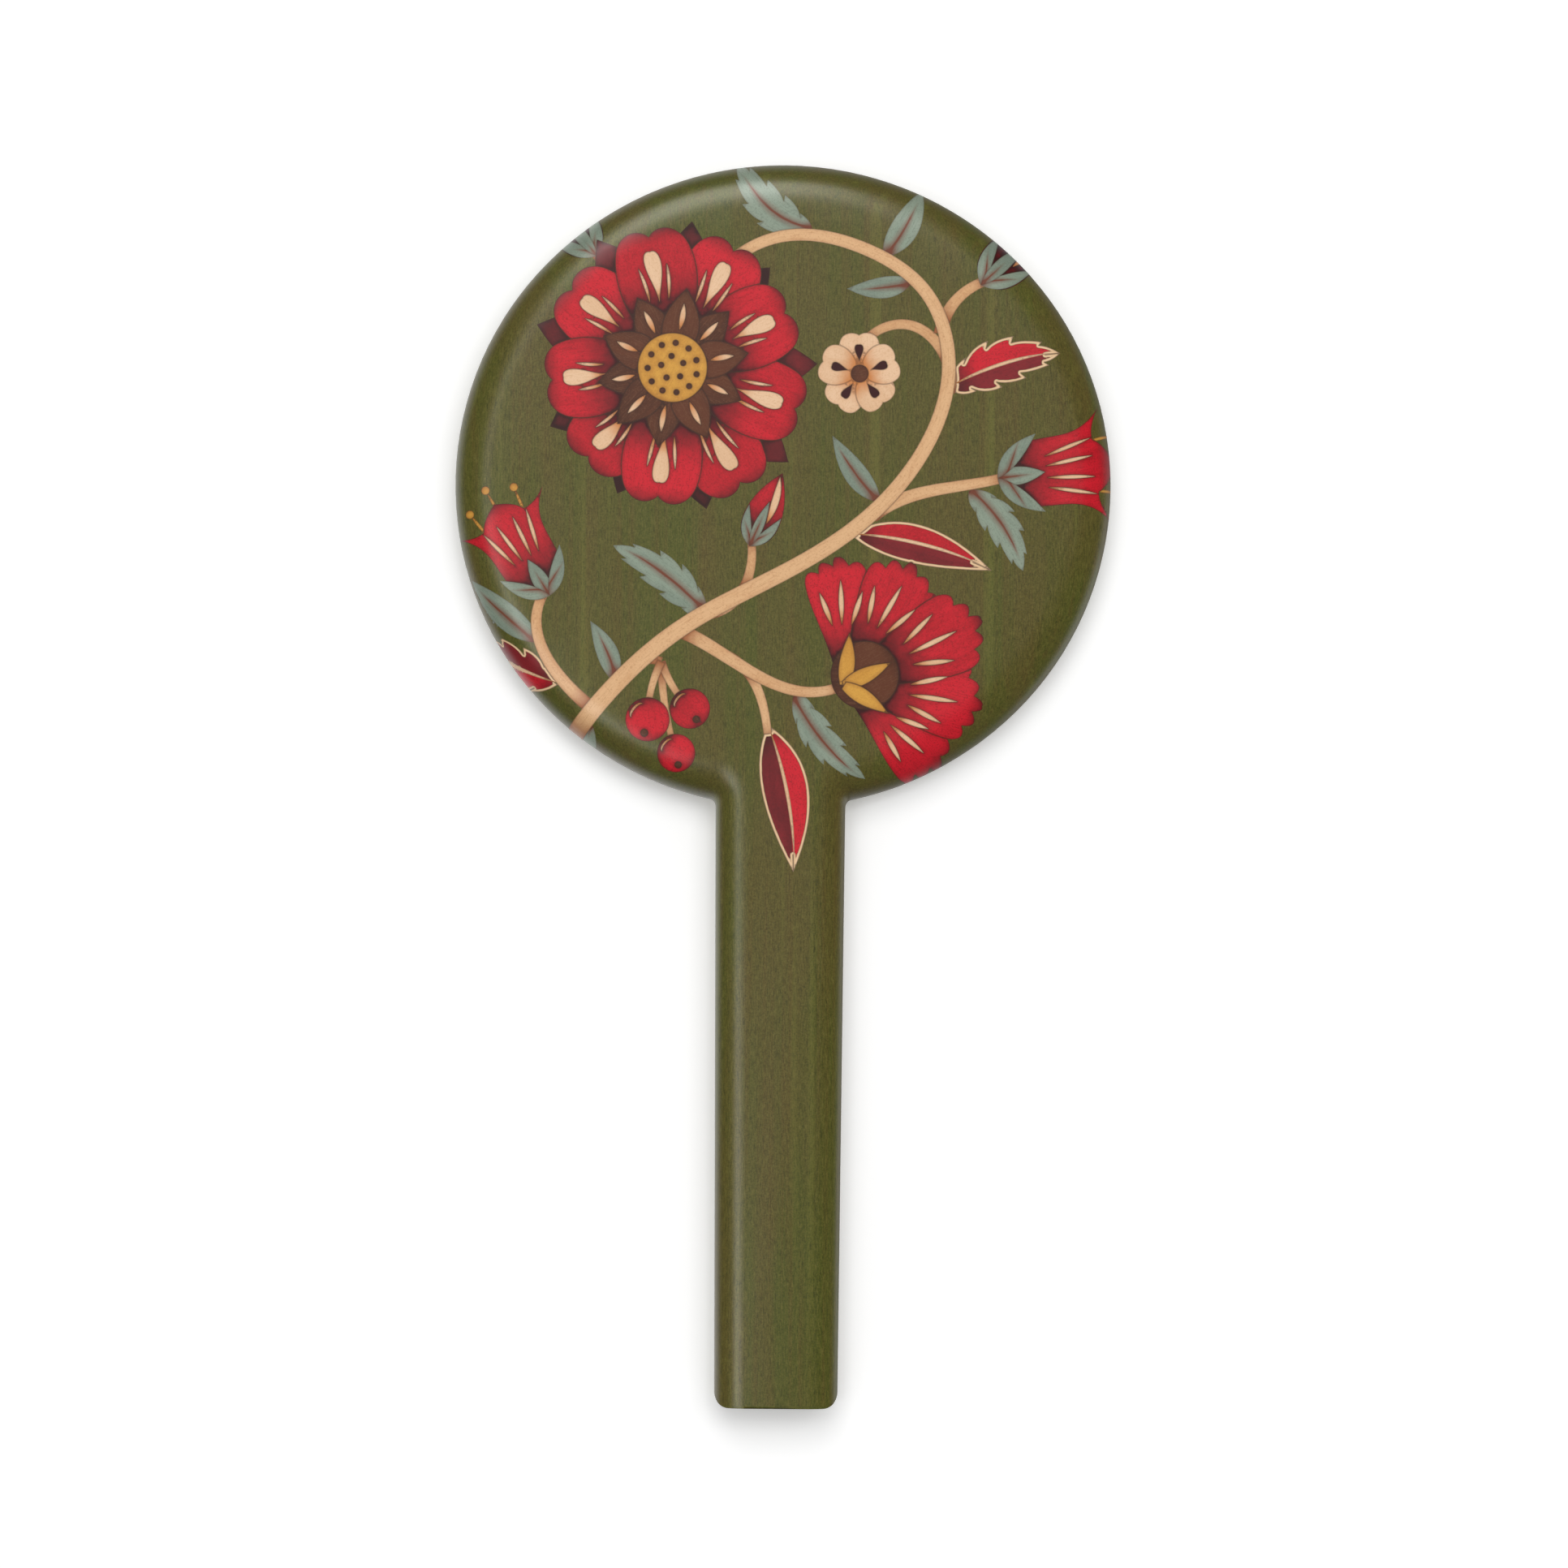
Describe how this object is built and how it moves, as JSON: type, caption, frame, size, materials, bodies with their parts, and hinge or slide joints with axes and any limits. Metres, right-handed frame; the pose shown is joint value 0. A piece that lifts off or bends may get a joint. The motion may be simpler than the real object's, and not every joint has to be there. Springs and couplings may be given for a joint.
{
  "type": "hand mirror",
  "caption": "Round wooden hand mirror on a straight handle, bevelled glass in front, floral inlaid veneer back; held in the hand to look in.",
  "frame": {"origin": "centre of the handle's square end, midway between the front and back faces", "axes": "+Z along the handle to the top of the head, -Y out of the inlaid back, +Y out of the mirror side, +X to the right when looking at the inlaid back"},
  "size_m": [0.148, 0.016, 0.28],
  "materials": {
    "green_veneer": "olive green dyed veneer, satin varnish",
    "end_veneer": "olive green dyed veneer, satin varnish",
    "board_wood": "sanded beech",
    "red_veneer": "red dyed veneer, satin varnish",
    "maroon_veneer": "dark red dyed veneer, satin varnish",
    "cream_veneer": "pale natural veneer, satin varnish",
    "brown_veneer": "dark brown veneer, satin varnish",
    "ochre_veneer": "ochre dyed veneer, satin varnish",
    "blue_grey_veneer": "blue grey dyed veneer, satin varnish",
    "stem_veneer": "pale tan veneer, satin varnish",
    "mirror_glass": "polished, bevelled rim",
    "silvering": "mirror silver",
    "backing_paint": "matt protective paint",
    "adhesive_pad": "soft adhesive foam"
  },
  "bodies": {
    "root": {"core_board": "board_wood", "front_frame": "board_wood", "back_veneer": "green_veneer", "front_veneer": "green_veneer", "head_edge_band": "green_veneer", "handle_edge_band_left": "green_veneer", "handle_edge_band_right": "green_veneer", "handle_end_cap": "end_veneer", "mirror_glass": "mirror_glass", "mirror_silvering": "silvering", "mirror_backing_paint": "backing_paint", "mirror_tape_pads": "adhesive_pad", "bloom_seeds": "brown_veneer", "bloom_centre": "ochre_veneer", "bloom_inner_veins": "cream_veneer", "bloom_inner_petals": "brown_veneer", "bloom_drops": "cream_veneer", "bloom_veins": "cream_veneer", "bloom_front_petals": "red_veneer", "bloom_back_petals": "maroon_veneer", "fan_sepals": "ochre_veneer", "fan_cup": "brown_veneer", "fan_veins": "cream_veneer", "fan_petals": "red_veneer", "bell_sepals": "blue_grey_veneer", "bell_streaks": "cream_veneer", "bell_cups": "red_veneer", "bell_stamens": "ochre_veneer", "bud_sepals": "blue_grey_veneer", "bud_folds": "cream_veneer", "bud_petals": "red_veneer", "small_blossom_eye": "brown_veneer", "small_blossom_drops": "red_veneer", "small_blossom_petals": "cream_veneer", "berry_glints": "cream_veneer", "berry_eyes": "brown_veneer", "berries": "red_veneer", "inlay_vine": "stem_veneer", "inlay_branches": "stem_veneer", "leaf_ribs": "cream_veneer", "leaf_light_halves": "red_veneer", "leaf_dark_halves": "maroon_veneer", "blue_leaves": "blue_grey_veneer"}
  },
  "joints": []
}
